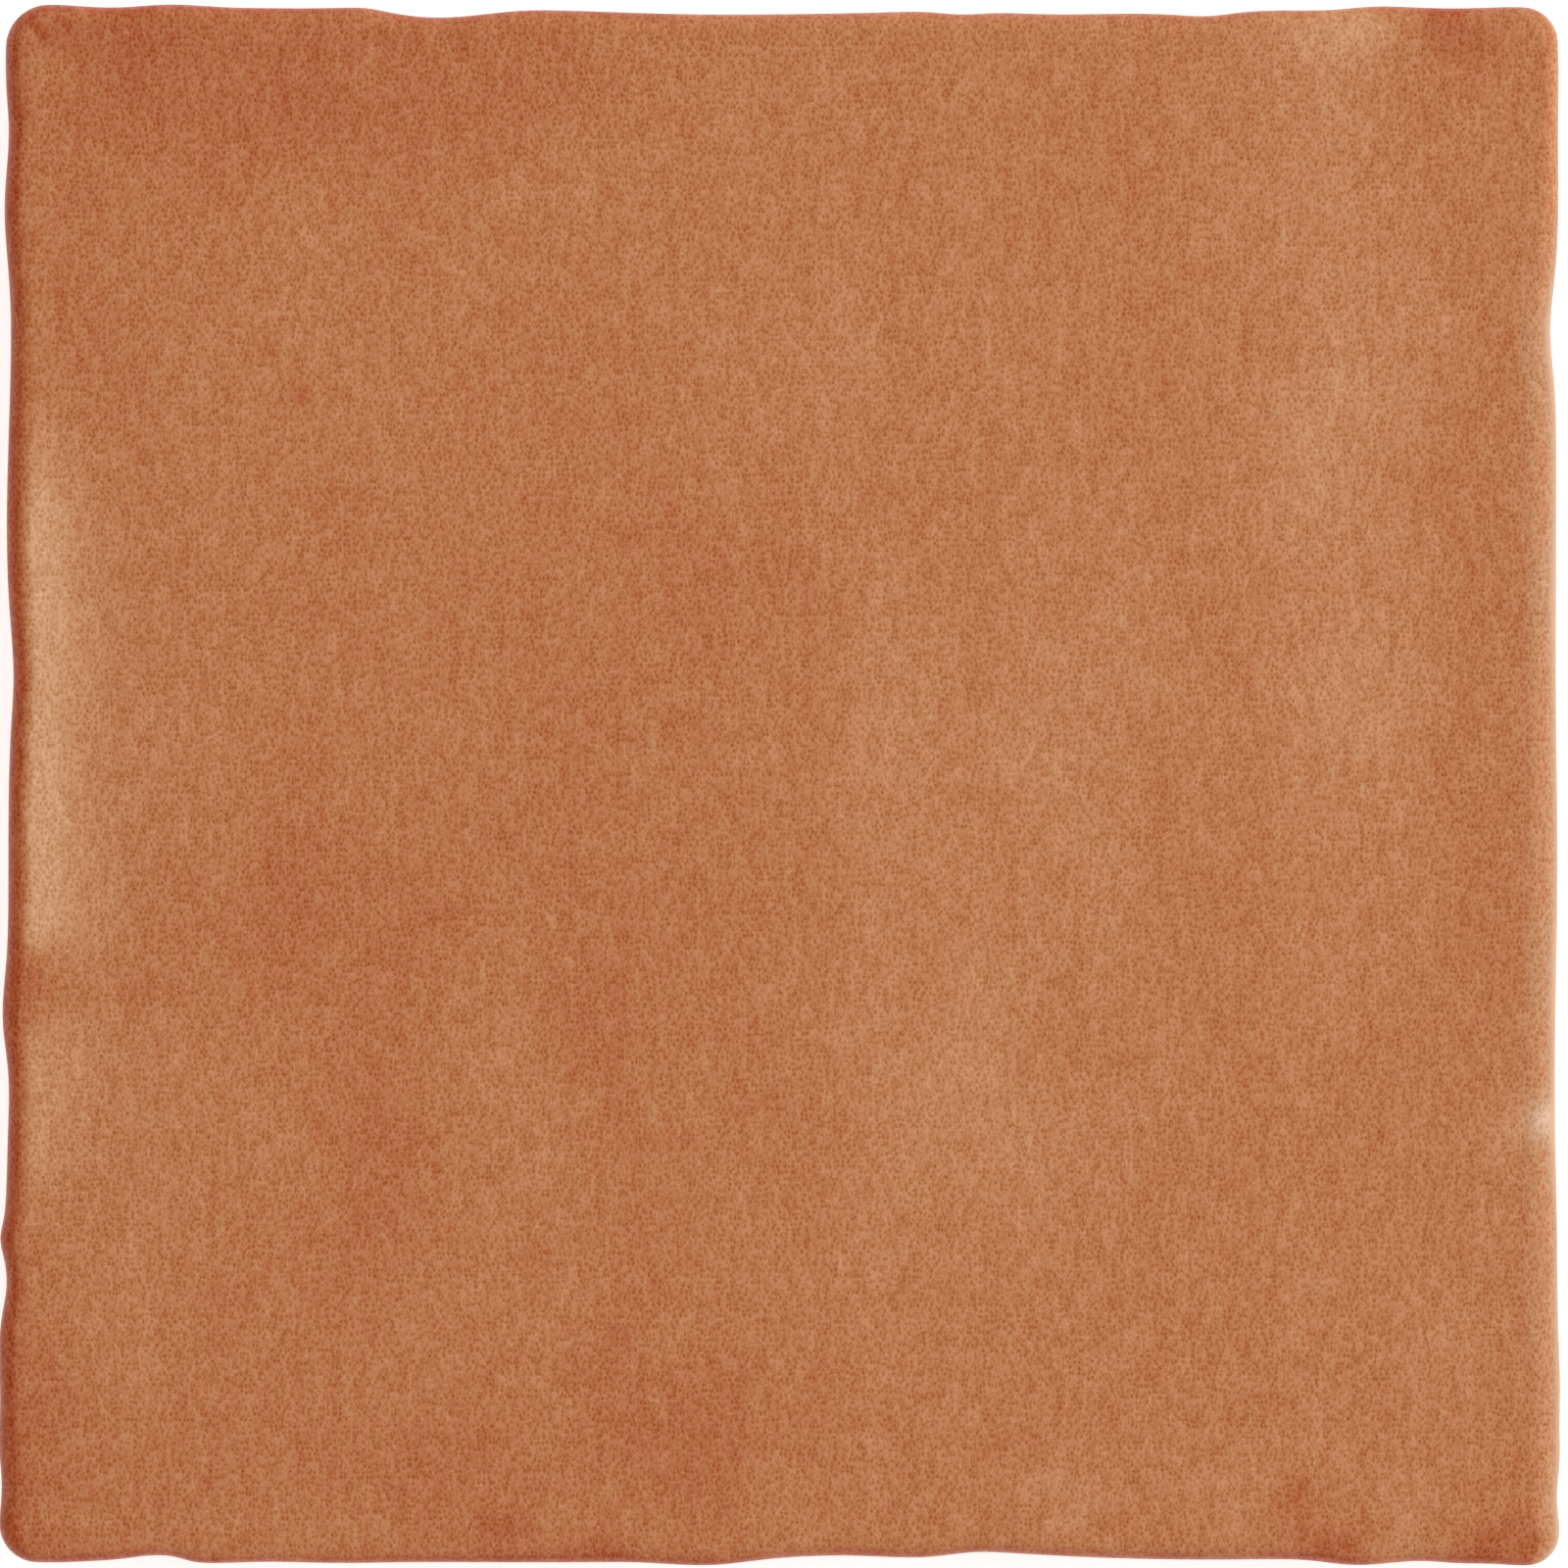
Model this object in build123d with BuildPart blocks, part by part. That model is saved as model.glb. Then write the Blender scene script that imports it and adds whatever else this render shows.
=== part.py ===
from build123d import *
import os
from math import cos, radians, sin

# A square glazed wall tile, hand-cut in look and fired in one piece, lying on its back.
# Its glazed face looks up (+Z), and +Y is the top of the tile as it is seen on a wall.
# The origin is the middle of the overall square, on the plane of the back. Sizes are in mm.

# Overall size
side_length = 132.0
thickness = 8.5

# Rounded corners, as seen on the glazed face, and the least radius left where the rim closes in
top_left_radius = 3.65
top_right_radius = 3.1
bottom_right_radius = 2.8
bottom_left_radius = 3.25
tightest_corner = 0.5

# Wavy sides. Each pair is how far along the side a point lies, as a share of the side, and
# how far the side stands back there from the overall square. The top and the bottom side run
# from left to right, and the left and the right side from top to bottom.
top_waves = [
    (0.073, 0.25), (0.109, 0.00), (0.142, 0.21), (0.189, 0.30), (0.213, 0.30), (0.236, 0.32),
    (0.252, 0.71), (0.284, 1.10), (0.335, 0.52), (0.365, 0.52), (0.471, 0.85), (0.522, 0.76),
    (0.562, 0.69), (0.598, 0.66), (0.616, 0.84), (0.635, 0.73), (0.665, 0.80), (0.754, 0.88),
    (0.772, 0.99), (0.797, 0.65), (0.860, 0.39), (0.876, 0.20), (0.917, 0.30),
]
bottom_waves = [
    (0.083, 0.63), (0.100, 0.86), (0.113, 0.71), (0.124, 0.33), (0.137, 0.20), (0.170, 0.30),
    (0.210, 0.21), (0.250, 0.25), (0.380, 0.27), (0.408, 0.26), (0.463, 0.08), (0.480, 0.34),
    (0.552, 0.81), (0.603, 0.80), (0.618, 1.06), (0.655, 0.99), (0.715, 0.62), (0.765, 0.49),
    (0.815, 0.52), (0.838, 0.44), (0.868, 0.04), (0.910, 0.37), (0.935, 0.19), (0.955, 0.14),
]
left_waves = [
    (0.047, 0.57), (0.080, 0.81), (0.128, 0.47), (0.151, 0.57), (0.180, 0.87), (0.230, 0.97),
    (0.338, 0.65), (0.388, 0.88), (0.434, 1.21), (0.460, 1.03), (0.575, 0.77), (0.612, 0.61),
    (0.652, 0.31), (0.682, 0.74), (0.730, 0.70), (0.768, 0.54), (0.779, 0.36), (0.791, 0.09),
    (0.800, 0.31), (0.822, 0.62), (0.840, 0.24), (0.900, 0.07), (0.925, 0.01), (0.950, 0.22),
]
right_waves = [
    (0.065, 0.18), (0.130, 0.14), (0.174, 0.43), (0.209, 0.81), (0.248, 0.43), (0.270, 0.34),
    (0.460, 0.33), (0.545, 0.21), (0.695, 0.43), (0.800, 0.23), (0.850, 0.14), (0.880, 0.01),
    (0.920, 0.03), (0.936, 0.05), (0.954, 0.25),
]

# How far each side stands back where it runs into its two corners
top_left_setbacks = (0.57, 0.02)
top_right_setbacks = (0.17, 0.23)
bottom_right_setbacks = (0.06, 0.00)
bottom_left_setbacks = (0.04, 0.27)

# Section: a broken arris, a drafted flank, a short straight land and a rolled rim round the face
back_inset = 0.35
back_arris = 0.5
land_height = 1.0
rim_width = 2.4
rim_height = 1.9
rim_steps = 8

# Keyed back: rows of shallow square pockets, which leave a lattice of ribs and a plain border
key_pitch = 12.0
rib_width = 1.8
key_depth = 0.6
key_corner_cut = 1.2
key_draft_angle = 15.0
key_border = 4.0

# Places worked out from the sizes above
half_side = side_length / 2
flank_height = thickness - rim_height - land_height
key_size = key_pitch - rib_width
deepest_wave = max(setback for share, setback in top_waves + bottom_waves + left_waves + right_waves)
keyed_reach = half_side - deepest_wave - back_inset - back_arris - key_border
keys_each_way = 2 * int((keyed_reach + rib_width / 2) / key_pitch)


def draw_outline(inset):
    """Draws the wavy outline of the tile, all round, at a distance inside its widest outline."""

    def corner(side_x, side_y, setbacks):
        across, up = setbacks
        return side_x * (half_side - across - inset), side_y * (half_side - up - inset)

    def stations(waves):
        return [(half_side - share * side_length, half_side - setback - inset) for share, setback in waves]

    top_left_x, top_left_y = corner(-1, 1, top_left_setbacks)
    top_right_x, top_right_y = corner(1, 1, top_right_setbacks)
    bottom_right_x, bottom_right_y = corner(1, -1, bottom_right_setbacks)
    bottom_left_x, bottom_left_y = corner(-1, -1, bottom_left_setbacks)

    top_left = max(top_left_radius - inset, tightest_corner)
    top_right = max(top_right_radius - inset, tightest_corner)
    bottom_right = max(bottom_right_radius - inset, tightest_corner)
    bottom_left = max(bottom_left_radius - inset, tightest_corner)

    top_start = (top_left_x + top_left, top_left_y)
    top_end = (top_right_x - top_right, top_right_y)
    right_start = (top_right_x, top_right_y - top_right)
    right_end = (bottom_right_x, bottom_right_y + bottom_right)
    bottom_start = (bottom_left_x + bottom_left, bottom_left_y)
    bottom_end = (bottom_right_x - bottom_right, bottom_right_y)
    left_start = (top_left_x, top_left_y - top_left)
    left_end = (bottom_left_x, bottom_left_y + bottom_left)

    top_points = [(-along, out) for along, out in stations(top_waves)]
    right_points = [(out, along) for along, out in stations(right_waves)]
    bottom_points = [(-along, -out) for along, out in stations(bottom_waves)]
    left_points = [(-out, along) for along, out in stations(left_waves)]

    # Each side leaves its corners straight along the overall square
    across = {"tangents": ((1, 0), (1, 0)), "tangent_scalars": (1, 1)}
    down = {"tangents": ((0, -1), (0, -1)), "tangent_scalars": (1, 1)}
    Spline(top_start, *top_points, top_end, **across)
    TangentArc(top_end, right_start, tangent=(1, 0))
    Spline(right_start, *right_points, right_end, **down)
    TangentArc(right_end, bottom_end, tangent=(0, -1))
    Spline(bottom_start, *bottom_points, bottom_end, **across)
    TangentArc(bottom_start, left_end, tangent=(-1, 0))
    Spline(left_start, *left_points, left_end, **down)
    TangentArc(left_start, top_start, tangent=(0, 1))


def section(height, inset):
    """A level section of the tile: its outline at a height, standing in by a distance all round."""
    with BuildSketch(Plane.XY.offset(height)) as level:
        with BuildLine():
            draw_outline(inset)
        make_face()
    return level.sketch


def rim_section(step):
    """A section of the rim, which rolls over to the face along a quarter of an ellipse."""
    angle = radians(90 * step / rim_steps)
    height = thickness - rim_height * (1 - sin(angle))
    return section(height, rim_width * (1 - cos(angle)))


with BuildPart() as wall_tile:
    # Broken arris of the back, flank that widens up to the land, land, and rim up to the face
    arris_foot = section(0, back_inset + back_arris)
    flank_foot = section(back_arris, back_inset)
    land_foot = section(flank_height, 0)
    rim = [rim_section(step) for step in range(rim_steps + 1)]
    loft([arris_foot, flank_foot, land_foot, *rim], ruled=True)

    # Keyed back
    with BuildSketch(Plane.XY) as key_pattern:
        with GridLocations(key_pitch, key_pitch, keys_each_way, keys_each_way):
            Rectangle(key_size, key_size)
        chamfer(key_pattern.vertices(), length=key_corner_cut)
    extrude(amount=key_depth, taper=key_draft_angle, mode=Mode.SUBTRACT)

wall_tile.part.label = "wall_tile"
os.makedirs("parts", exist_ok=True)
export_step(wall_tile.part, "parts/wall_tile.step")
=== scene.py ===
from math import radians

import bmesh
import bpy
import numpy as np
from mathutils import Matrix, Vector


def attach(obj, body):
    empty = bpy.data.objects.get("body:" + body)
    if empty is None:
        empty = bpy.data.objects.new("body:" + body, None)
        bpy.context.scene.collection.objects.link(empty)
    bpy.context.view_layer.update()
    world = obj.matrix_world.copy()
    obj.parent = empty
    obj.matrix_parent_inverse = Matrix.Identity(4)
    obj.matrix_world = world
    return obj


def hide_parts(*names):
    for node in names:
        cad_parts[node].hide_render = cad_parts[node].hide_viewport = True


# A square glazed wall tile, lying on its back. The body is red clay. A satin, half milky glaze
# covers its face and rim, and ends in an uneven line on the flanks. Lengths are in millimetres,
# apart from what Blender itself takes, which is in metres.

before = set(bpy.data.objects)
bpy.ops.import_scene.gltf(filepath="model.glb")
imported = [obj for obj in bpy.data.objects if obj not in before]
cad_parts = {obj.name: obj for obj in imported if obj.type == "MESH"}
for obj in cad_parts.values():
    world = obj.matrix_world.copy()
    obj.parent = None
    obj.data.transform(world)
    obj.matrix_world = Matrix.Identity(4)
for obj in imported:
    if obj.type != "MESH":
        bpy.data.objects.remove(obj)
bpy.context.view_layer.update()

MM = 0.001

# Section, as in the CAD model
FACE_HEIGHT = 8.5
LAND_TOP = 6.6
LAND_FOOT = 5.6
BACK_INSET = 0.35
ARRIS = 0.5

# How wide the rim is before it levels out into the face, on each side of the tile
RIM_LEFT = 1.8
RIM_RIGHT = 2.5
RIM_BOTTOM = 1.5
RIM_TOP = 1.6

# The rim of the right side narrows by this much towards its upper corner, between these heights
RIM_RIGHT_PINCH = 1.1
PINCH_START = 36
PINCH_END = 50

# How much of a bulge of a side its rim takes up, and over how many points a side is levelled
# out to find its bulges, and the rim's width changes from one side to the next
BULGE_SHARE = 0.4
BULGE_REACH = 20
CORNER_REACH = 24

# Keyed back, as in the CAD model, but with round corners and softened ribs
KEY_PITCH = 12.0
KEYS_EACH_WAY = 10
KEY_HALF = 5.1
KEY_CORNER = 2.0
KEY_DEPTH = 0.6
KEY_DRAFT = 0.16
RIB_SOFTENING = 0.12

# Where in the endless noise of the glaze the middle of the tile lies, away from its bland origin
PATTERN_START = (137.0, 211.0)

# Fineness of the curve round the tile and of the mesh
SPLINE_STEPS = 24
SIDE_CELLS = 200
RIM_RINGS = 12
FLANK_RINGS = 19
CORNER_CROWDING = 0.08
KEY_SHARES = (0, 0.07, 0.14, 0.24, 0.5, 0.76, 0.86, 0.93)

# The corners of the inner square that the rings of the rim close in on
INNER_HALF = 62.3

# Where the glaze ends on the flanks, how far it stands out from the bare clay, over how much
# height it does so, and how deep the ripples of the bare clay are
GLAZE_LINE = 3.3
GLAZE_LIP = 0.13
GLAZE_LIP_HEIGHT = 0.35
CLAY_RIPPLE = 0.05

# How far up from that line the glaze of the rim is all there, and how far above the line a face
# needs no bare clay
FLANK_RISE = 2.8
CLAY_REACH = 1.2

# The face isn't quite flat: its hollows, as x, y, half width, half height and depth
HOLLOWS = [
    (-58.0, 8.0, 6.0, 24.0, 0.16),
    (-58.0, -28.0, 5.0, 11.0, 0.08),
    (-14.0, 18.0, 26.0, 20.0, 0.09),
    (-30.0, -30.0, 20.0, 26.0, 0.08),
    (14.0, -22.0, 18.0, 26.0, 0.06),
    (52.0, 24.0, 11.0, 34.0, 0.10),
    (36.0, -46.0, 22.0, 14.0, 0.06),
    (-30.0, 52.0, 28.0, 9.0, 0.07),
]

# A painted highlight runs beside the rim of the left side, drawn as a milky lip: how far in it starts,
# over how far it rises, and from where and how slowly it fades out
LIP_START = 1.2
LIP_RISE = 1.35
LIP_CREST = 2.9
LIP_FADE = 3.2

# The stretches of that painted highlight: how milky it makes the glaze, where a stretch ends towards the
# top of the tile and over how far it fades there, and the same for its end towards the bottom
LIP_STRETCHES = [
    (0.62, 32, 12, -16, 5),
    (0.30, -19, 4, -37, 6),
]

# The glaze runs thin over the rim, and the same thinning paints shade over the rims. On each side: how
# much less milky it is, how far in that ends and over how far it fades
THIN_AND_SHADE_LEFT = (0.60, 1.67, 1.0)
THIN_AND_SHADE_BOTTOM = (0.38, 1.0, 0.7)
THIN_AND_SHADE_TOP = (0.22, 0.9, 0.7)

# On the left it is also thin, with painted shade, in a faint line, given by how much, where and how
# wide, and in a band between two distances with soft edges, in the given stretches
THIN_AND_SHADE_LINE = (0.08, 1.7, 0.35)
THIN_AND_SHADE_BAND_START = 1.1
THIN_AND_SHADE_BAND_END = 2.15
THIN_AND_SHADE_BAND_FADE = 0.4
THIN_AND_SHADE_BAND_STRETCHES = [
    (0.07, 48, 8, 19, 6),
    (0.04, -19, 5, -46, 5),
]

# On the flanks, the share that is left of the thinning with its painted shade, and of the painted
# highlight of the rim
THIN_AND_SHADE_ON_FLANKS = 0.45
PALE_ON_FLANKS = 0.35

# A painted highlight makes the glaze on the rim of the right side pale, but hardly so near the top: how
# pale it is at the least, how much more below this height, and over how far that comes in
PALE_LEAST = 0.05
PALE_MORE = 0.77
PALE_TOP = 54
PALE_TOP_FADE = 18

# Its band and its very edge: how pale, how far in they end and over how far they fade. The band
# narrows by this much below this height, over this far.
PALE_BAND = (0.45, 3.15, 1.1)
PALE_EDGE = (0.55, 0.95, 0.8)
PALE_NARROWING = (0.8, -46, 10)

# A painted highlight, a glint, on that rim, as x, y, half width and half height, and its strength in the
# middle
GLINT = (64.7, -28.3, 1.4, 1.6)
GLINT_STRENGTH = 1.1

# Where the painted highlight on the rim of the right side is stronger or weaker, as y, half height and
# how much more
HIGHLIGHT_STRENGTHS = [
    (37.0, 7.0, 0.25),
    (16.0, 5.0, 0.30),
    (-16.5, 5.0, 0.25),
    (-29.0, 4.0, 0.20),
    (-38.0, 3.0, -0.25),
]

# Clouds in the glaze, as x, y, half width, half height and how much milkier it is there.
# Where it is less milky, the red clay shows through.
CLOUDS = [
    (-54.5, 61.5, 5.5, 5.0, -0.14),
    (-36.1, 57.3, 24.0, 8.0, -0.13),
    (-44.0, 61.0, 26.0, 7.0, -0.10),
    (-35.0, 65.5, 20.0, 3.0, -0.12),
    (-56.0, 65.5, 5.0, 3.0, -0.06),
    (-60.8, 64.6, 1.9, 2.2, -0.26),
    (-62.9, 64.1, 1.1, 1.5, -0.36),
    (-20.3, 57.7, 4.5, 4.0, -0.05),
    (-60.0, 45.0, 7.0, 14.0, -0.10),
    (-8.7, 20.0, 8.5, 6.5, -0.11),
    (-39.4, -10.7, 10.0, 6.5, -0.12),
    (-13.7, -17.3, 3.5, 12.0, -0.13),
    (-34.0, -32.2, 5.5, 9.0, -0.13),
    (-7.9, -54.2, 8.5, 8.5, -0.13),
    (-30.0, -59.0, 34.0, 7.0, -0.10),
    (-16.0, -65.2, 11.0, 2.6, -0.26),
    (-62.0, -52.0, 5.0, 13.0, -0.12),
    (-63.9, -59.5, 1.4, 6.0, -0.17),
    (-63.8, -63.8, 1.5, 1.5, -0.20),
    (-61.0, -64.6, 2.6, 1.6, -0.16),
    (-49.5, -65.3, 3.2, 1.6, -0.08),
    (-23.1, -64.2, 3.0, 2.0, -0.10),
    (-23.7, -62.5, 2.5, 1.5, -0.16),
    (43.6, -59.9, 1.6, 1.8, -0.20),
    (46.3, -64.3, 3.4, 2.8, -0.30),
    (59.6, -64.0, 3.4, 2.5, -0.30),
    (64.0, -64.5, 4.0, 3.0, -0.25),
    (63.3, -56.5, 2.0, 3.3, -0.10),
    (58.4, 61.0, 5.0, 4.0, -0.16),
    (56.5, 64.8, 3.3, 3.0, -0.20),
    (60.0, 15.8, 3.0, 41.0, -0.06),
    (65.0, 61.5, 0.8, 4.0, -0.12),
    (-61.2, 29.8, 1.6, 3.0, 0.15),
    (-62.0, -1.5, 1.6, 6.0, 0.12),
    (-63.2, -16.7, 1.7, 2.2, -0.34),
    (-63.6, -20.0, 1.2, 2.0, -0.22),
    (-40.2, 32.8, 0.8, 0.8, -0.30),
    (-13.7, -46.3, 0.9, 0.9, -0.30),
    (-24.5, -6.1, 25.0, 35.0, -0.07),
    (8.7, 3.0, 5.0, 15.0, 0.14),
    (23.6, 4.2, 6.5, 17.0, 0.14),
    (15.3, -26.8, 10.0, 14.0, 0.13),
    (-22.4, -24.8, 3.0, 12.5, 0.10),
    # These three clouds paint soft highlights where the face slopes towards the light
    (47.6, 23.7, 7.5, 36.0, 0.11),
    (47.6, 31.6, 6.5, 11.5, 0.08),
    (47.6, 8.4, 6.0, 5.0, 0.08),
    (49.5, 63.6, 3.5, 2.6, 0.36),
    (44.0, 63.0, 4.5, 3.0, 0.16),
    (56.7, -48.0, 4.0, 8.0, 0.10),
    (22.3, -59.6, 5.5, 3.3, 0.12),
    # Part of the painted glint on the rim of the right side
    (62.5, -28.3, 2.6, 3.2, 0.25),
    (53.4, -62.5, 2.5, 3.5, 0.11),
    (-58.0, -20.0, 5.0, 8.0, 0.06),
    (6.0, 34.0, 7.0, 18.0, 0.05),
    (8.0, -58.0, 8.0, 6.0, 0.05),
]

# Colours of the glaze, given by their square roots: its film from clear to milky, then its pale colours
# under the painted highlight of the right rim, and the painted glint
FILM_COLORS = [
    (0.0, (0.655, 0.276, 0.135)),
    (0.2, (0.702, 0.370, 0.216)),
    (0.5, (0.741, 0.451, 0.277)),
    (1.0, (0.842, 0.600, 0.427)),
]
RIM_HIGHLIGHT_COLORS = [
    (0.4, (0.752, 0.488, 0.320)),
    (0.62, (0.732, 0.527, 0.380)),
    (1.0, (0.800, 0.615, 0.477)),
]
GLINT_COLOR = (0.83, 0.665, 0.527)

# How strongly the dots, the veins and the grain of the glaze change each part of its colour
TONE_COLOR = (0.057, 0.070, 0.076)

# How dark the dots are in that tone, and the even tone that makes up for them
DOT_TONE = -2.2
EVEN_TONE = 0.57

# Colours of the bare clay and of its pores, and of the clay that shows where the glaze runs out
CLAY_COLORS = [
    (0.30, (0.36, 0.145, 0.078)),
    (0.55, (0.46, 0.200, 0.115)),
    (0.75, (0.56, 0.275, 0.175)),
]
PORE_COLOR = (0.20, 0.075, 0.045)
THIN_GLAZE_COLOR = (0.330, 0.085, 0.030)

# Sizes of the patterns in the glaze and in the bare clay
CLOUD_SIZE = 8.0
STREAK_SIZE = 1.6
VEIN_SIZE = 0.85
DOT_SIZE = 0.35
GRAIN_SIZE = 0.16
RIPPLE_SIZE = 1.8
CLAY_GRAIN_SIZE = 1.1
PORE_SIZE = 0.62
GLAZE_END_SIZE = 0.9

# Gloss of the glaze, its roughness at the least and how much more in places, the roughness of
# the bare clay, and the height of the fine relief
SPECULAR_LEVEL = 0.18
ROUGHNESS = 0.31
ROUGHNESS_SPREAD = 0.14
CLAY_ROUGHNESS = 0.88
RELIEF_HEIGHT = 0.02

# The floor, in metres, and how much it glows, so that it is as white as in the photograph
FLOOR_SIZE = 6.0
FLOOR_GLOW = 0.62

# Lights, as name, place, size and radiance, in metres
SOFTBOXES = [
    ("right_strip", (1.35, 0.10, 0.60), (0.35, 1.1), 3.3),
    ("top_softbox", (0.85, 0.75, 1.5), (1.0, 1.0), 3.0),
]
WORLD_LEFT = 0.50
WORLD_RIGHT = 0.70

# Camera: the width that it shows at the top of the land, and where it looks down, in metres
SHOWN_WIDTH = 0.13258
CAMERA_X = 0.00037
CAMERA_Y = 0.00008


def smooth_step(value):
    """0 below 0, 1 above 1, and a soft rise in between."""
    value = np.clip(value, 0, 1)
    return value * value * (3 - 2 * value)


def blot(x, y, spot):
    """How much of a soft round spot, given as x, y, half width and half height, covers a point."""
    across, up, half_width, half_height = spot
    return np.exp(-((x - across) / half_width) ** 2 - ((y - up) / half_height) ** 2)


# The outline, from the CAD model

def read_outline(node, tolerance=0.01):
    """The corners of the node's mesh at the top of the land, in order round the tile."""
    points = np.array([vertex.co for vertex in node.data.vertices]) / MM
    level = np.abs(points[:, 2] - LAND_TOP) < tolerance
    ring = np.unique(points[level, :2].round(3), axis=0)
    return ring[np.argsort(np.arctan2(ring[:, 1], ring[:, 0]))]


def closed_spline(points, per_span):
    """Points along the smooth closed curve through the given ones."""
    count = len(points)
    chord = np.roll(points, -1, axis=0) - points
    step = np.linalg.norm(chord, axis=1)
    rise = chord / step[:, None]
    before = np.roll(step, 1)
    row = np.arange(count)
    system = np.zeros((count, count))
    system[row, (row - 1) % count] = step
    system[row, row] = 2 * (before + step)
    system[row, (row + 1) % count] = before
    pull = 3 * (step[:, None] * np.roll(rise, 1, axis=0) + before[:, None] * rise)
    slope = np.linalg.solve(system, pull)
    next_slope = np.roll(slope, -1, axis=0)
    curve = []
    for t in np.arange(per_span) / per_span:
        along = points + (3 * t**2 - 2 * t**3) * chord
        start = (t**3 - 2 * t**2 + t) * step[:, None] * slope
        end = (t**3 - t**2) * step[:, None] * next_slope
        curve.append(along + start + end)
    return np.stack(curve, axis=1).reshape(-1, 2)


def four_sides(curve, cells):
    """The closed curve as a loop of four sides, from the bottom left corner, anticlockwise."""
    turn = np.arctan2(curve[:, 1], curve[:, 0])
    curve = np.roll(curve, -int(np.argmin(np.abs(turn + radians(135)))), axis=0)
    turn = np.arctan2(curve[:, 1], curve[:, 0])
    turn = (turn - turn[0] + 1e-9) % radians(360)
    marks = [int(np.searchsorted(turn, radians(90 * side))) for side in range(4)] + [len(curve)]
    curve = np.vstack([curve, curve[:1]])
    share = np.arange(cells) / cells
    share = share - CORNER_CROWDING * np.sin(2 * np.pi * share)
    loop = []
    for start, end in zip(marks, marks[1:]):
        side = curve[start:end + 1]
        length = np.concatenate([[0], np.cumsum(np.linalg.norm(np.diff(side, axis=0), axis=1))])
        at = share * length[-1]
        loop.append(np.column_stack([np.interp(at, length, side[:, axis]) for axis in (0, 1)]))
    return np.vstack(loop)


cad_outline = read_outline(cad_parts["wall_tile"])
outline = four_sides(closed_spline(cad_outline, SPLINE_STEPS), SIDE_CELLS)
outline = np.clip(outline, cad_outline.min(axis=0), cad_outline.max(axis=0))
inward = np.clip(outline, -INNER_HALF, INNER_HALF) - outline
inward /= np.linalg.norm(inward, axis=1)[:, None]

bottom_side, right_side, top_side, left_side = np.split(outline, 4)


def calmed(values, reach):
    """Values along a line, each averaged softly with those within its reach."""
    shares = np.hanning(2 * reach + 3)[1:-1]
    return np.convolve(np.pad(values, reach, mode="edge"), shares / shares.sum(), "valid")


def side_bulges():
    """How far each point of the outline stands out from the general run of its side."""
    bulges = []
    for side, axis in ((bottom_side, 1), (right_side, 0), (top_side, 1), (left_side, 0)):
        out = np.abs(side[:, axis])
        inner = slice(BULGE_REACH // 2, -BULGE_REACH // 2)
        bulge = np.zeros(len(out))
        bulge[inner] = out[inner] - calmed(out[inner], BULGE_REACH)
        bulges.append(calmed(bulge, 2))
    return np.concatenate(bulges)


def rim_widths():
    """The width of the rim at each point of the outline.

    It changes gently round the corners, and it is wider where the side bulges.
    """
    widths = np.concatenate([np.full(SIDE_CELLS, width)
                             for width in (RIM_BOTTOM, RIM_RIGHT, RIM_TOP, RIM_LEFT)])
    pinch = smooth_step((right_side[:, 1] - PINCH_START) / (PINCH_END - PINCH_START))
    widths[SIDE_CELLS:2 * SIDE_CELLS] -= RIM_RIGHT_PINCH * pinch
    around = np.concatenate([widths, widths, widths])
    return calmed(around, CORNER_REACH)[len(widths):-len(widths)] + BULGE_SHARE * side_bulges()


def edge_distances(x, y):
    """How far points lie in from the left, the right, the bottom and the top side."""
    left = x - np.interp(y, left_side[::-1, 1], left_side[::-1, 0])
    right = np.interp(y, right_side[:, 1], right_side[:, 0]) - x
    bottom = y - np.interp(x, bottom_side[:, 0], bottom_side[:, 1])
    top = np.interp(x, top_side[::-1, 0], top_side[::-1, 1]) - y
    return left, right, bottom, top


# The skin of the tile, gathered patch by patch

def face_height(x, y):
    """The height of the glazed face, which swells and sinks by a tenth of a millimetre or so."""
    swell = np.sin(0.071 * x + 0.6) * np.sin(0.063 * y - 0.4) + 0.5 * np.sin(0.151 * x - 0.117 * y)
    height = FACE_HEIGHT - 0.012 * (1.5 + swell)
    for across, up, half_width, half_height, depth in HOLLOWS:
        height = height - depth * blot(x, y, (across, up, half_width, half_height))
    return height


def glaze_line(x, y):
    """The height on the flanks where the glaze ends. It wanders, with a run here and there."""
    slow = 0.35 * np.sin(0.083 * x + 0.061 * y + 0.9) + 0.25 * np.sin(0.19 * x - 0.23 * y)
    quick = 0.14 * np.sin(0.71 * x + 0.83 * y + 2.0) + 0.07 * np.sin(1.9 * x - 1.7 * y)
    runs = np.maximum(np.sin(0.31 * x + 0.27 * y + 1.1) - 0.8, 0)
    return GLAZE_LINE + slow + quick - 3.0 * runs


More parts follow.
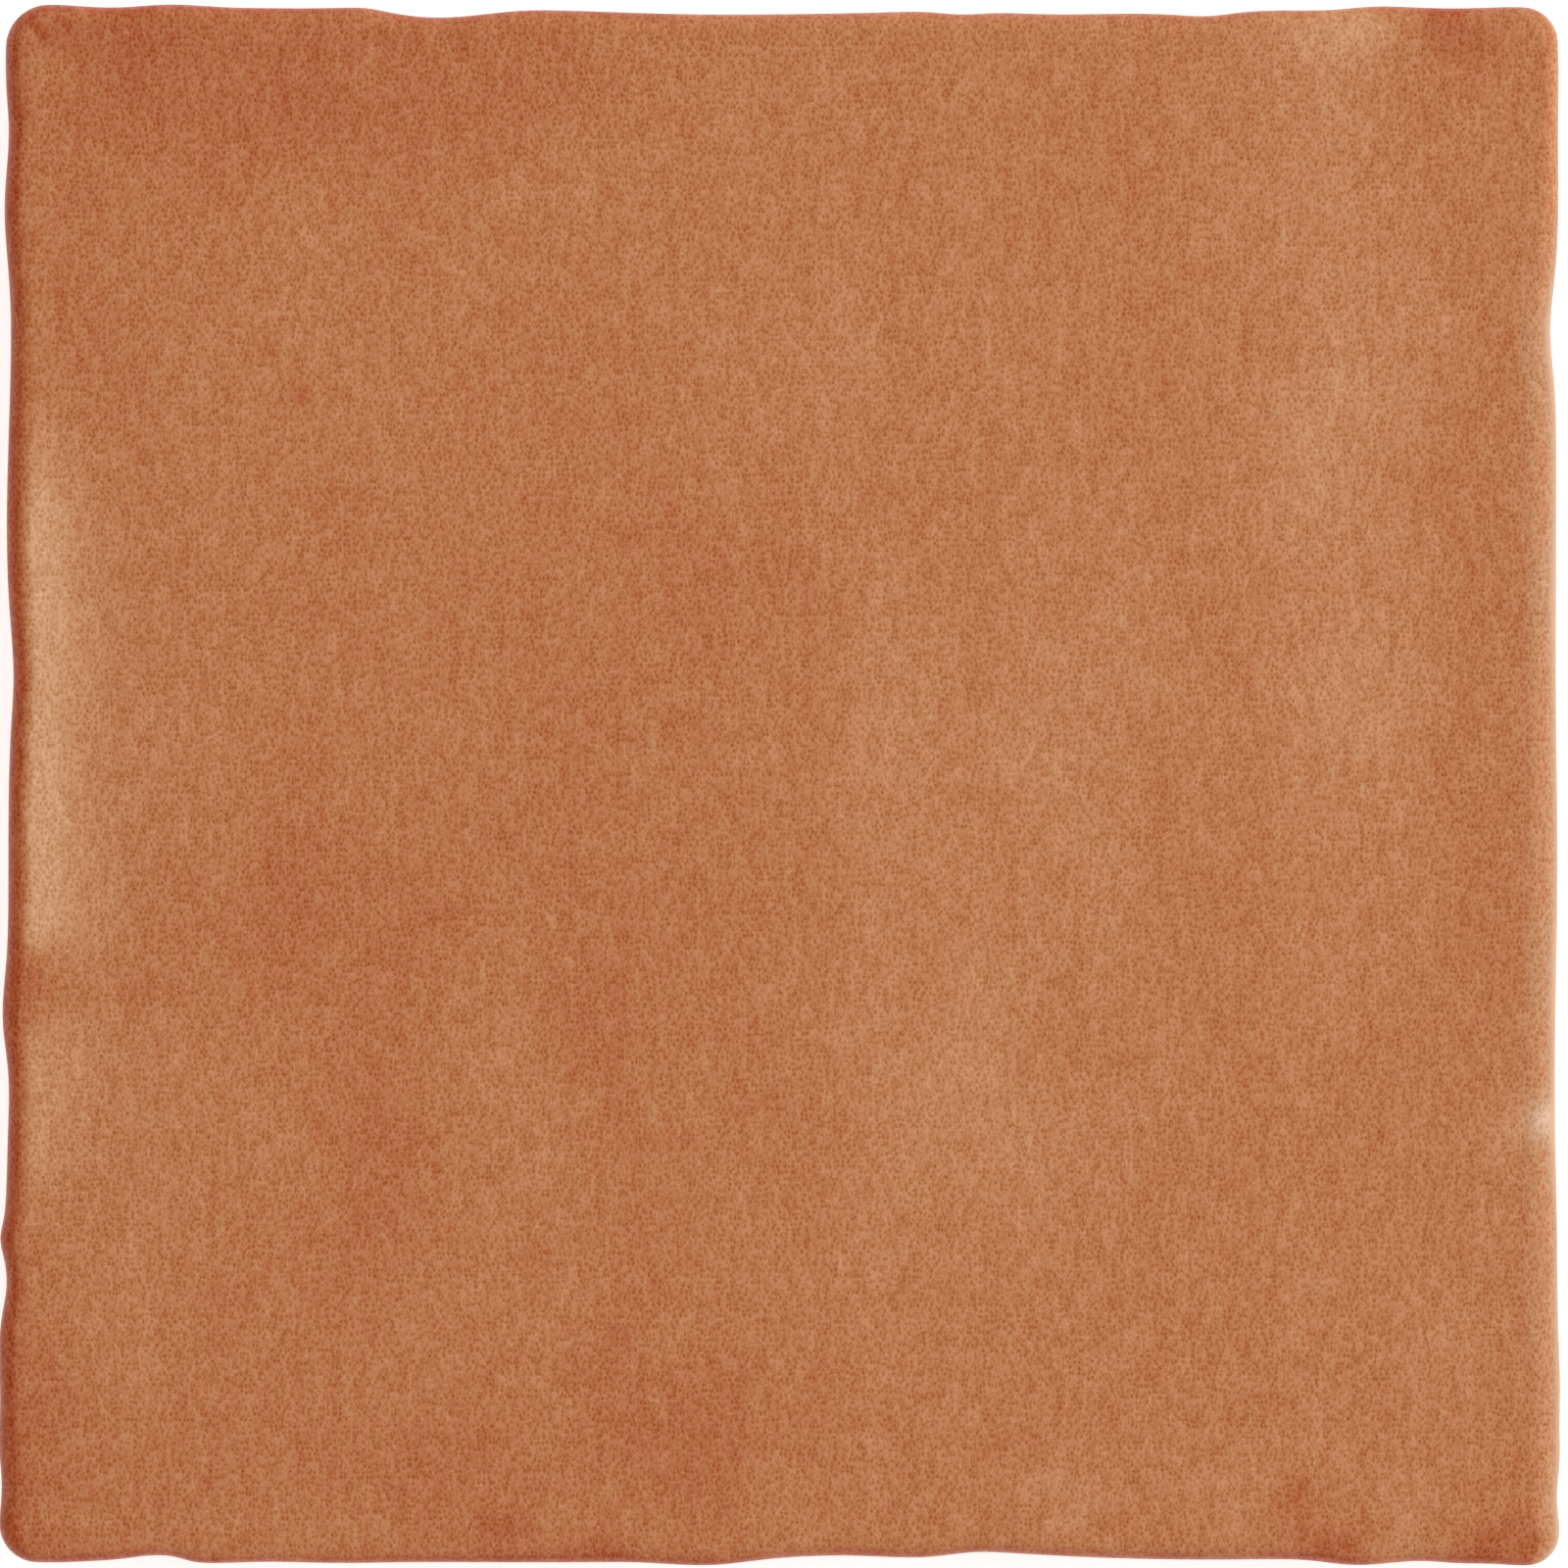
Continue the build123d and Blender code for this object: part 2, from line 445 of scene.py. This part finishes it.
class Skin:
    """Points and faces. A loop is a list of point numbers, which runs anticlockwise."""

    def __init__(self):
        self.points = []
        self.unrolled = []
        self.faces = []
        self.shared = {}

    def add(self, plan, height, unrolled=None):
        """Adds points, given as their plan and height, and returns their numbers.

        Unrolled is where each would lie if the glaze were peeled off and laid flat.
        """
        first = len(self.points)
        heights = np.broadcast_to(height, len(plan))
        self.points.extend((x, y, z) for (x, y), z in zip(plan, heights))
        self.unrolled.extend((x, y) for x, y in (plan if unrolled is None else unrolled))
        return list(range(first, len(self.points)))

    def add_shared(self, plan):
        """Adds points on the plane of the back, or finds those that are there already."""
        numbers = []
        for x, y in plan:
            key = (round(float(x), 3), round(float(y), 3))
            if key not in self.shared:
                self.shared[key] = self.add([(x, y)], 0.0)[0]
            numbers.append(self.shared[key])
        return numbers

    def bridge(self, outer, inner):
        """Joins two loops of as many points each."""
        for k in range(len(outer)):
            after = (k + 1) % len(outer)
            self.faces.append((outer[k], outer[after], inner[after], inner[k]))

    def zip_up(self, outer, inner):
        """Joins two loops of different counts, which start at the same corner, by triangles."""
        i = j = 0
        while i < len(outer) or j < len(inner):
            outer_next = (i + 1) / len(outer)
            inner_next = (j + 1) / len(inner)
            a, b = outer[i % len(outer)], inner[j % len(inner)]
            if outer_next <= inner_next:
                i += 1
                self.faces.append((a, outer[i % len(outer)], b))
            else:
                j += 1
                self.faces.append((a, inner[j % len(inner)], b))

    def fill(self, loop, plan, height_at):
        """Fills a loop of four equal sides with a grid that follows its sides."""
        cells = len(loop) // 4
        plan = np.vstack([plan, plan[:1]])
        bottom = plan[:cells + 1]
        right = plan[cells:2 * cells + 1]
        top = plan[2 * cells:3 * cells + 1][::-1]
        left = plan[3 * cells:][::-1]
        u = (np.arange(cells + 1) / cells)[:, None, None]
        v = u.reshape(1, -1, 1)
        sides = (1 - v) * bottom[:, None] + v * top[:, None] + (1 - u) * left[None] + u * right[None]
        lower = (1 - v) * ((1 - u) * bottom[0] + u * bottom[-1])
        upper = v * ((1 - u) * top[0] + u * top[-1])
        grid = (sides - lower - upper)[1:-1, 1:-1].reshape(-1, 2)
        inside = self.add(grid, height_at(grid[:, 0], grid[:, 1]))
        number = np.empty((cells + 1, cells + 1), int)
        ring = np.array(list(loop) + [loop[0]])
        number[:, 0] = ring[:cells + 1]
        number[-1, :] = ring[cells:2 * cells + 1]
        number[:, -1] = ring[2 * cells:3 * cells + 1][::-1]
        number[0, :] = ring[3 * cells:][::-1]
        number[1:-1, 1:-1] = np.array(inside).reshape(cells - 1, cells - 1)
        for i in range(cells):
            for j in range(cells):
                self.faces.append((number[i, j], number[i + 1, j],
                                   number[i + 1, j + 1], number[i, j + 1]))


def square_loop(half, shares):
    """A square of four sides, whose points lie at the given shares of each side."""
    along = np.array(shares) * 2 * half - half
    level = np.full(len(along), half)
    sides = [(along, -level), (level, along), (-along, level), (-level, -along)]
    return np.vstack([np.column_stack(side) for side in sides])


def rounded(loop, radius):
    """The square loop with its corners rounded."""
    heart = np.clip(loop, -loop.max() + radius, loop.max() - radius)
    away = loop - heart
    length = np.linalg.norm(away, axis=1)[:, None]
    return heart + away * radius / np.maximum(length, 1e-9)


def add_back(skin, foot):
    """The keyed back: pockets between ribs, and the border from them to the foot of the flanks."""
    reach = KEY_PITCH * (KEYS_EACH_WAY - 1) / 2
    for across in np.linspace(-reach, reach, KEYS_EACH_WAY):
        for up in np.linspace(-reach, reach, KEYS_EACH_WAY):
            place = np.array([across, up])

            # The side of a pocket, from its softened mouth to its floor, as half width and height
            steps = [
                (KEY_HALF + RIB_SOFTENING, 0.0),
                (KEY_HALF - 0.02, 0.1),
                (KEY_HALF - KEY_DRAFT + 0.02, KEY_DEPTH - 0.1),
                (KEY_HALF - KEY_DRAFT - RIB_SOFTENING, KEY_DEPTH),
            ]
            outer = skin.add_shared(square_loop(KEY_PITCH / 2, KEY_SHARES) + place)
            for half, height in steps:
                plan = rounded(square_loop(half, KEY_SHARES), KEY_CORNER) + place
                inner = skin.add(plan, height)
                skin.bridge(outer, inner)
                outer = inner
            skin.fill(outer, plan, lambda x, y: np.full(len(x), KEY_DEPTH))
    shares = (np.arange(KEYS_EACH_WAY)[:, None] + np.array(KEY_SHARES)) / KEYS_EACH_WAY
    field = skin.add_shared(square_loop(reach + KEY_PITCH / 2, shares.ravel()))
    skin.zip_up(foot, field)


def section_rings():
    """The plan and the height of each ring, from the foot of the flanks up to the crest."""
    x, y = outline.T
    line = glaze_line(x, y)
    ripple = 0.5 + 0.3 * np.sin(1.7 * x + 1.3 * y) + 0.2 * np.sin(0.6 * x - 0.9 * y)

    # The arris, with the edges beside it slightly rounded, then the flank
    arris_inset = BACK_INSET + ARRIS
    insets = [arris_inset + 0.08, arris_inset - 0.06, BACK_INSET + 0.07]
    heights = [0.0, 0.06, ARRIS - 0.07]
    for height in np.linspace(ARRIS + 0.08, LAND_TOP, FLANK_RINGS):
        draft = BACK_INSET * max(0, (LAND_FOOT - height) / (LAND_FOOT - ARRIS))
        bare = smooth_step((line - height) / GLAZE_LIP_HEIGHT)
        insets.append(draft + bare * (GLAZE_LIP + CLAY_RIPPLE * ripple))
        heights.append(height)

    # The rim, along a quarter of an ellipse
    widths = rim_widths()
    rise = face_height(*(outline + inward * widths[:, None]).T) - LAND_TOP
    for ring in range(1, RIM_RINGS + 1):
        turn = radians(90 * ring / RIM_RINGS)
        insets.append(widths * (1 - np.cos(turn)))
        heights.append(LAND_TOP + rise * np.sin(turn))
    count = len(outline)
    insets = [np.broadcast_to(inset, count)[:, None] for inset in insets]
    return [(outline + inward * inset, np.broadcast_to(height, count))
            for inset, height in zip(insets, heights)]


def build_skin():
    """The whole skin of the tile: flanks and rim, then the face, then the back."""
    skin = Skin()
    rings = section_rings()
    solid = np.array([np.column_stack(ring) for ring in rings])
    climb = np.linalg.norm(np.diff(solid, axis=0), axis=2)
    crest = rings[-1][0]
    loops = []
    for level, (plan, height) in enumerate(rings):
        way_down = climb[level:].sum(axis=0)[:, None]
        loops.append(skin.add(plan, height, crest - inward * way_down))
    for lower, upper in zip(loops, loops[1:]):
        skin.bridge(lower, upper)
    skin.fill(loops[-1], crest, face_height)
    add_back(skin, loops[0])
    return skin


# What the glaze needs to know about each point

def bent(x, y):
    """The place shifted a little this way and that, which makes round spots uneven."""
    return (x + 1.3 * np.sin(0.27 * y + 0.4) + 0.8 * np.sin(0.61 * y + 0.33 * x),
            y + 1.3 * np.sin(0.23 * x + 1.9) + 0.8 * np.sin(0.57 * x - 0.41 * y))


def stretches(y, spans):
    """How strong the stretches of a side are together at each height y. Their ends are soft."""
    total = np.zeros(len(y))
    for amount, top_end, top_fade, bottom_end, bottom_fade in spans:
        below_top = smooth_step((top_end - y) / top_fade)
        above_bottom = smooth_step((y - bottom_end) / bottom_fade)
        total += amount * below_top * above_bottom
    return total


def near_side(distance, amount, end, fade):
    """The given amount close to a side, and less and less of it up to where it ends."""
    return amount * smooth_step((end - distance) / fade)


def up_the_flanks(z, share):
    """The given share down at the glaze line, and more and more up to 1 near the rim."""
    return share + (1 - share) * smooth_step((z - GLAZE_LINE) / FLANK_RISE)


def milky_glaze_and_painted_light(x, y, z):
    """How milky the glaze is, from 0, where red clay shows, over 0.5, its usual look, to 1. It also
    holds a painted highlight beside the left rim and painted shade over the rims.
    """
    left, _, bottom, top = edge_distances(x, y)
    left = left + RIM_LEFT - np.interp(y, left_side[::-1, 1], rim_widths()[:-SIDE_CELLS - 1:-1])
    film = np.full(len(x), 0.5)
    for across, up, half_width, half_height, change in CLOUDS:
        film += change * blot(*bent(x, y), (*bent(across, up), half_width, half_height))

    # A painted highlight along the left side, drawn as a milky lip
    lip = smooth_step((left - LIP_START) / LIP_RISE)
    lip = lip * np.exp(-np.maximum(left - LIP_CREST, 0) / LIP_FADE)
    film += lip * stretches(y, LIP_STRETCHES)

    # The glaze runs thin over the sharpest part of the rim, most of all on the left, and it gathers
    # again lower down on the flanks. This thinning also paints shade over the rims.
    thin = near_side(left, *THIN_AND_SHADE_LEFT)
    line_amount, line_place, line_width = THIN_AND_SHADE_LINE
    thin += line_amount * np.exp(-((left - line_place) / line_width) ** 2)
    band = near_side(left, 1.0, THIN_AND_SHADE_BAND_END, THIN_AND_SHADE_BAND_FADE)
    band = band * smooth_step((left - THIN_AND_SHADE_BAND_START) / THIN_AND_SHADE_BAND_FADE)
    thin += band * stretches(y, THIN_AND_SHADE_BAND_STRETCHES)
    thin += near_side(bottom, *THIN_AND_SHADE_BOTTOM)
    thin += near_side(top, *THIN_AND_SHADE_TOP)
    film -= thin * up_the_flanks(z, THIN_AND_SHADE_ON_FLANKS)
    return np.clip(film, 0, 1)


def painted_rim_highlight(x, y, z):
    """How strong the painted highlight on the rim of the right side is, drawn as pale glaze, from 0 to
    1.
    """
    right = edge_distances(x, y)[1]
    strength = PALE_LEAST + PALE_MORE * smooth_step((PALE_TOP - y) / PALE_TOP_FADE)
    for up, half_height, more in HIGHLIGHT_STRENGTHS:
        strength += more * np.exp(-((y - up) / half_height) ** 2)
    amount, end, fade = PALE_BAND
    end = end + 0.2 * np.sin(0.075 * y - 2.0) + 0.12 * np.sin(0.9 * y) * np.sin(1.3 * x + 0.4)
    narrower, below, over = PALE_NARROWING
    end -= narrower * smooth_step((below - y) / over)
    band = near_side(right, amount, end, fade)
    edge = near_side(right, *PALE_EDGE)
    pale = strength * band + (0.6 + 0.4 * strength) * edge
    return pale * up_the_flanks(z, PALE_ON_FLANKS)


def glint(x, y):
    """How much of the painted glint on the rim of the right side covers a point, from 0 to 1."""
    return np.minimum(GLINT_STRENGTH * blot(x, y, GLINT), 1)


def make_tile():
    """The tile as one closed mesh, with what its glaze needs to know and its materials."""
    skin = build_skin()
    mesh = bpy.data.meshes.new("glazed_tile")
    mesh.from_pydata([(x * MM, y * MM, z * MM) for x, y, z in skin.points], [], skin.faces)
    work = bmesh.new()
    work.from_mesh(mesh)
    bmesh.ops.recalc_face_normals(work, faces=work.faces)
    work.to_mesh(mesh)
    work.free()
    mesh.shade_smooth()
    mesh.set_sharp_from_angle(angle=radians(40))

    x, y, z = np.array(skin.points).T
    above_line = z - glaze_line(x, y)
    fields = {"milky_glaze_and_painted_light": milky_glaze_and_painted_light(x, y, z), "painted_rim_highlight": painted_rim_highlight(x, y, z), "glint": glint(x, y),
              "above_line": above_line}
    for name, values in fields.items():
        field = mesh.attributes.new(name, "FLOAT", "POINT")
        field.data.foreach_set("value", values.astype(np.float32))
    field = mesh.attributes.new("unrolled", "FLOAT_VECTOR", "POINT")
    flat = np.column_stack([np.array(skin.unrolled) + PATTERN_START, np.zeros(len(x))])
    field.data.foreach_set("vector", flat.ravel().astype(np.float32))

    # Faces that lie well above the line need no bare clay, so they get a simpler material
    mesh.materials.append(tile_material("glazed_clay", bare_clay=False))
    mesh.materials.append(tile_material("glazed_and_bare_clay", bare_clay=True))
    for polygon in mesh.polygons:
        polygon.material_index = int(min(above_line[number] for number in polygon.vertices) < CLAY_REACH)

    tile = bpy.data.objects.new("glazed_tile", mesh)
    bpy.context.scene.collection.objects.link(tile)
    return tile


# Materials

class Material:
    """A node material, with short calls that add a node and return its output."""

    def __init__(self, name):
        self.material = bpy.data.materials.new(name)
        self.material.use_nodes = True
        self.tree = self.material.node_tree
        self.tree.nodes.clear()
        self.output = self.tree.nodes.new("ShaderNodeOutputMaterial")

    def node(self, kind, inputs, **settings):
        made = self.tree.nodes.new("ShaderNode" + kind)
        for name, value in settings.items():
            setattr(made, name, value)
        for socket, value in inputs.items():
            if isinstance(value, bpy.types.NodeSocket):
                self.tree.links.new(value, made.inputs[socket])
            else:
                made.inputs[socket].default_value = value
        return made

    def field(self, name, output="Fac"):
        return self.node("Attribute", {}, attribute_name=name).outputs[output]

    def place(self):
        """Where a point is on the tile, in millimetres."""
        source = self.node("TexCoord", {}).outputs["Object"]
        return self.node("VectorMath", {0: source, 3: 1 / MM}, operation="SCALE").outputs[0]

    def scaled(self, place, across, up):
        """A place in a pattern that is this many times as fine across and up."""
        return self.node("VectorMath", {0: place, 1: (across, up, 1.0)}, operation="MULTIPLY").outputs[0]

    def calc(self, operation, *values):
        return self.node("Math", dict(enumerate(values)), operation=operation).outputs[0]

    def noise(self, place, size, detail=2.0, roughness=0.5, dimensions="2D"):
        """Soft noise from 0 to 1 whose blotches are about as large as the given size."""
        inputs = {"Vector": place, "Scale": 1 / size, "Detail": detail, "Roughness": roughness}
        return self.node("TexNoise", inputs, noise_dimensions=dimensions).outputs["Fac"]

    def cells(self, place, size, dimensions="2D"):
        """Scattered points, as the distance to the nearest one in sizes, and a value for each."""
        inputs = {"Vector": place, "Scale": 1 / size, "Randomness": 1.0}
        made = self.node("TexVoronoi", inputs, voronoi_dimensions=dimensions)
        return made.outputs["Distance"], made.outputs["Color"]

    def ease(self, value, start, end, low=0.0, high=1.0):
        """low before start, high after end, and a soft change in between."""
        inputs = {"Value": value, "From Min": start, "From Max": end, "To Min": low, "To Max": high}
        return self.node("MapRange", inputs, interpolation_type="SMOOTHSTEP").outputs[0]

    def swing(self, value, amount):
        """Noise from 0 to 1 turned into a change of either sign."""
        return self.calc("MULTIPLY_ADD", value, 2 * amount, -amount)

    def ramp(self, value, stops):
        made = self.node("ValToRGB", {"Fac": value})
        elements = made.color_ramp.elements
        while len(elements) < len(stops):
            elements.new(0.5)
        for element, (position, color) in zip(elements, stops):
            element.position = position
            element.color = (*color, 1)
        return made.outputs["Color"]

    def mix(self, share, first, second):
        """A mix of two colours. A colour is three numbers or an output."""
        inputs = {0: share}
        for socket, color in ((6, first), (7, second)):
            inputs[socket] = (*color, 1) if isinstance(color, tuple) else color
        return self.node("Mix", inputs, data_type="RGBA").outputs[2]

    def bump(self, height, distance):
        inputs = {"Height": height, "Distance": distance * MM, "Strength": 1.0}
        return self.node("Bump", inputs).outputs["Normal"]

    def finish(self, shader):
        self.tree.links.new(shader, self.output.inputs["Surface"])
        return self.material


def add_glaze(m):
    """The colour, the roughness and the relief of the glaze on its red clay."""
    flat = m.field("unrolled", "Vector")
    upright = m.scaled(flat, across=1.0, up=0.72)
    streaked = m.scaled(flat, across=1.12, up=0.5)

    # Red clay under a film that is more or less milky, which also holds painted shade on the rims and a
    # painted highlight beside the left one. Colours are given by their square roots, so that the dots
    # stand out as much from dark glaze as from light.
    clouds = m.swing(m.noise(streaked, CLOUD_SIZE, detail=3.0), amount=0.12)
    streaks = m.swing(m.noise(streaked, STREAK_SIZE, detail=2.0), amount=0.18)
    film = m.calc("ADD", m.calc("ADD", m.field("milky_glaze_and_painted_light"), clouds), streaks)
    color = m.ramp(film, FILM_COLORS)

    # Where the glaze has pooled, it is pale
    # A painted highlight makes the glaze on the rim of the right side pale, and a painted glint lies on
    # it
    pale = m.field("painted_rim_highlight")
    color = m.mix(m.ease(pale, start=0.0, end=0.45), color, m.ramp(pale, RIM_HIGHLIGHT_COLORS))
    color = m.mix(m.field("glint"), color, GLINT_COLOR)

    # Small dark dots all over, light veins between them, and a fine grain. They fade out under the
    # painted highlight, where the glaze is palest.
    distance, value = m.cells(upright, DOT_SIZE)
    dot = m.ease(distance, start=0.68, end=0.0)
    dot = m.calc("MULTIPLY", dot, m.ease(value, start=0.0, end=1.0, low=0.3, high=1.0))
    grain = m.swing(m.noise(upright, GRAIN_SIZE, detail=0.0), amount=0.95)
    veins = m.swing(m.noise(streaked, VEIN_SIZE, detail=1.0), amount=0.72)
    tone = m.calc("ADD", m.calc("ADD", grain, veins), EVEN_TONE)
    tone = m.calc("MULTIPLY_ADD", dot, DOT_TONE, tone)
    tone = m.calc("MULTIPLY", tone, m.ease(pale, start=0.45, end=0.95, low=1.0, high=0.2))
    color = m.node("VectorMath", {0: tone, 1: TONE_COLOR, 2: color},
                   operation="MULTIPLY_ADD").outputs[0]
    color = m.node("VectorMath", {0: color, 1: color}, operation="MULTIPLY").outputs[0]

    soft = m.noise(flat, RIPPLE_SIZE, detail=1.0)
    roughness = m.calc("MULTIPLY_ADD", soft, ROUGHNESS_SPREAD, ROUGHNESS)
    relief = m.calc("MULTIPLY_ADD", dot, -0.25, m.calc("MULTIPLY", soft, 1.6))
    return color, roughness, relief


def add_bare_clay(m, color, roughness, relief):
    """Adds the bare clay below the line where the glaze ends."""
    place = m.place()
    grains = m.noise(place, CLAY_GRAIN_SIZE, detail=5.0, roughness=0.65, dimensions="3D")
    clay = m.ramp(grains, CLAY_COLORS)
    distance, _ = m.cells(place, PORE_SIZE, dimensions="3D")
    clay = m.mix(m.ease(distance, start=0.16, end=0.07, low=0.0, high=0.6), clay, PORE_COLOR)

    edge = m.noise(place, GLAZE_END_SIZE, detail=3.0, roughness=0.5, dimensions="3D")
    edge = m.calc("ADD", m.field("above_line"), m.swing(edge, amount=0.28))
    glazed = m.ease(edge, start=-0.06, end=0.06)
    thin = m.ease(edge, start=0.9, end=0.0, low=0.0, high=0.55)
    color = m.mix(thin, color, THIN_GLAZE_COLOR)
    color = m.mix(glazed, clay, color)
    bare = m.calc("SUBTRACT", 1.0, glazed)
    rough_clay = m.calc("MULTIPLY", bare, CLAY_ROUGHNESS)
    roughness = m.calc("ADD", m.calc("MULTIPLY", glazed, roughness), rough_clay)
    relief = m.calc("ADD", m.calc("MULTIPLY", glazed, relief),
                    m.calc("MULTIPLY", m.calc("MULTIPLY", bare, grains), 8.0))
    return color, roughness, relief


def tile_material(name, bare_clay):
    m = Material(name)
    color, roughness, relief = add_glaze(m)
    if bare_clay:
        color, roughness, relief = add_bare_clay(m, color, roughness, relief)
    inputs = {"Base Color": color, "Roughness": roughness, "Normal": m.bump(relief, RELIEF_HEIGHT)}
    inputs["Specular IOR Level"] = SPECULAR_LEVEL
    return m.finish(m.node("BsdfPrincipled", inputs).outputs[0])


def floor_paper():
    m = Material("floor_paper")
    shade = m.noise(m.place(), size=180.0)
    color = m.ramp(shade, [(0.3, (0.80, 0.80, 0.80)), (0.7, (0.83, 0.83, 0.83))])
    inputs = {"Base Color": color, "Roughness": 0.9, "Emission Strength": FLOOR_GLOW}
    inputs["Emission Color"] = (1, 1, 1, 1)
    return m.finish(m.node("BsdfPrincipled", inputs).outputs[0])


# The scene

def add_floor():
    half = FLOOR_SIZE / 2
    mesh = bpy.data.meshes.new("floor")
    corners = [(-half, -half, 0), (half, -half, 0), (half, half, 0), (-half, half, 0)]
    mesh.from_pydata(corners, [], [(0, 1, 2, 3)])
    floor = bpy.data.objects.new("floor", mesh)
    bpy.context.scene.collection.objects.link(floor)
    mesh.materials.append(floor_paper())


def add_softbox(name, position, size, radiance):
    """A flat light of even radiance, which faces the tile."""
    light = bpy.data.lights.new(name, "AREA")
    light.shape = "RECTANGLE"
    light.size, light.size_y = size
    light.energy = radiance * np.pi * size[0] * size[1]
    lamp = bpy.data.objects.new(name, light)
    lamp.location = position
    lamp.rotation_euler = (-Vector(position)).to_track_quat("-Z", "Y").to_euler()
    lamp.visible_camera = False
    bpy.context.scene.collection.objects.link(lamp)


def add_world(left, right):
    """Soft light from all round, dimmer from the left than from the right."""
    world = bpy.data.worlds.new("studio")
    world.use_nodes = True
    tree = world.node_tree
    direction = tree.nodes.new("ShaderNodeTexCoord").outputs["Generated"]
    parts = tree.nodes.new("ShaderNodeSeparateXYZ")
    shade = tree.nodes.new("ShaderNodeMapRange")
    shade.inputs["From Min"].default_value = -1.0
    shade.inputs["To Min"].default_value = left
    shade.inputs["To Max"].default_value = right
    tree.links.new(direction, parts.inputs[0])
    tree.links.new(parts.outputs["X"], shade.inputs["Value"])
    tree.links.new(shade.outputs[0], tree.nodes["Background"].inputs["Strength"])
    tree.nodes["Background"].inputs["Color"].default_value = (1, 1, 1, 1)
    bpy.context.scene.world = world


def add_camera():
    """The camera looks straight down, from far off."""
    lens = 400.0
    sensor = 36.0
    camera = bpy.data.cameras.new("camera")
    camera.lens = lens
    camera.sensor_width = sensor
    camera.clip_start = 0.05
    camera.clip_end = 20.0
    eye = bpy.data.objects.new("camera", camera)
    eye.location = (CAMERA_X, CAMERA_Y, LAND_TOP * MM + SHOWN_WIDTH * lens / sensor)
    bpy.context.scene.collection.objects.link(eye)
    bpy.context.scene.camera = eye


tile = make_tile()
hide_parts("wall_tile")
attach(tile, "root")

add_floor()
for softbox in SOFTBOXES:
    add_softbox(*softbox)
add_world(WORLD_LEFT, WORLD_RIGHT)
add_camera()
bpy.context.scene.view_settings.view_transform = "Standard"
